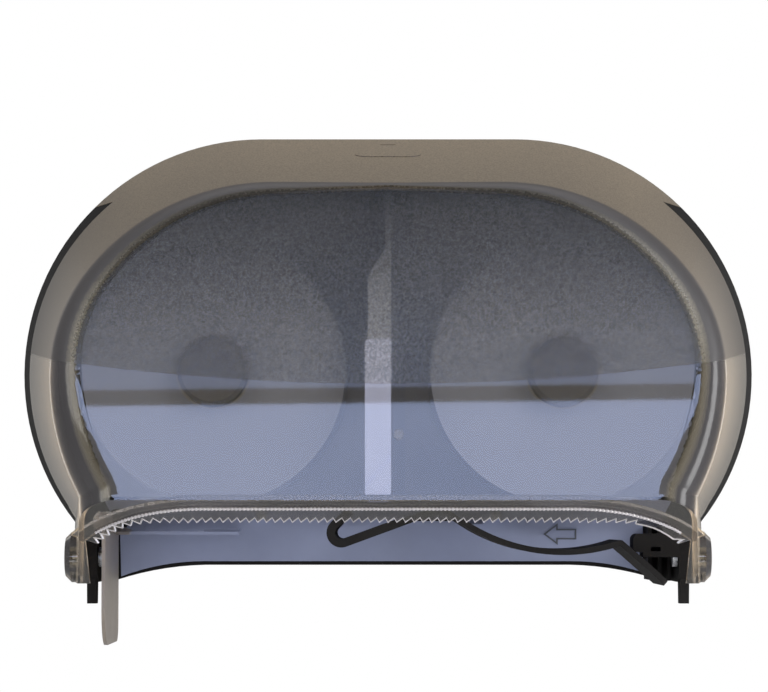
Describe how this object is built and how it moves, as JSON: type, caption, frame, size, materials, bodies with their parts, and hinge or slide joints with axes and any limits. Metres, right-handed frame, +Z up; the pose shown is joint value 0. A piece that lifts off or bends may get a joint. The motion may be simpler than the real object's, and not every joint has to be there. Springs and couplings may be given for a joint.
{
  "type": "toilet paper dispenser",
  "caption": "Wall dispenser for toilet rolls: tapered smoke-translucent hood hinged at its foot, arched serrated tear lip, sliding reserve guard, hanging brake lever.",
  "frame": {"origin": "middle of the four wall screw holes, on the wall plane", "axes": "+X to the right as seen from the front, +Y into the wall, +Z up"},
  "size_m": [0.3848, 0.15, 0.2651],
  "materials": {
    "smoke_hood": "smoke translucent, fine frosted texture above a curved line, clear and glossy below it",
    "clear_strip": "clear, polished teeth",
    "black_plastic": "fine moulded texture",
    "blue_grey_panel": "satin moulded sheet",
    "pale_plastic": "satin",
    "smoke_lever": "smoke translucent, frosted",
    "rubber_pad": "matte",
    "white_acetal": "smooth, same blue-grey as the panel",
    "paper": "soft wound tissue, grey recycled",
    "cardboard": "grey wound board",
    "steel": "zinc plated"
  },
  "bodies": {
    "base": {"rear_housing": "black_plastic", "back_panel": "blue_grey_panel", "panel_screws": "steel", "centre_divider": "pale_plastic", "divider_column": "pale_plastic", "divider_screws": "steel", "spindle_left": "black_plastic", "spindle_right": "black_plastic", "spindle_cap_left": "black_plastic", "spindle_cap_right": "black_plastic", "spindle_screws": "steel", "guard_rail": "white_acetal", "rail_screws": "steel", "guard_stop": "black_plastic", "lever_shaft": "steel", "lever_clip": "steel", "hinge_pin_left": "steel", "hinge_pin_right": "steel", "lock_guide": "black_plastic", "lock_screws": "steel"},
    "cover": {"front_cover": "smoke_hood", "lock_catch": "smoke_hood", "tear_strip": "clear_strip"},
    "bolt": {"lock_bolt": "black_plastic"},
    "roll_left": {"paper_roll_left": "paper", "roll_core_left": "cardboard"},
    "roll_right": {"paper_roll_right": "paper", "roll_core_right": "cardboard"},
    "guard": {"reserve_guard": "black_plastic", "guard_shoe": "white_acetal"},
    "lever": {"brake_lever": "smoke_lever", "brake_pad": "rubber_pad"}
  },
  "joints": [
    {"name": "cover_hinge", "type": "hinge", "parent": "base", "child": "cover", "pos_m": [0, -0.045, -0.104], "axis": [1, 0, 0], "range_deg": [0, 100]},
    {"name": "lock_slide", "type": "slide", "parent": "base", "child": "bolt", "axis": [0, 0, 1], "range_m": [0, 0.007]},
    {"name": "roll_left_spin", "type": "hinge", "parent": "base", "child": "roll_left", "pos_m": [-0.0863, -0.064, -0.012], "axis": [0, 1, 0], "continuous": true},
    {"name": "roll_right_spin", "type": "hinge", "parent": "base", "child": "roll_right", "pos_m": [0.0863, -0.064, -0.012], "axis": [0, 1, 0], "continuous": true},
    {"name": "guard_slide", "type": "slide", "parent": "base", "child": "guard", "axis": [-1, 0, 0], "range_m": [0, 0.075]},
    {"name": "lever_swing", "type": "hinge", "parent": "base", "child": "lever", "pos_m": [-0.1423, -0.05, -0.084], "axis": [0, -1, 0], "range_deg": [0, 10]}
  ]
}
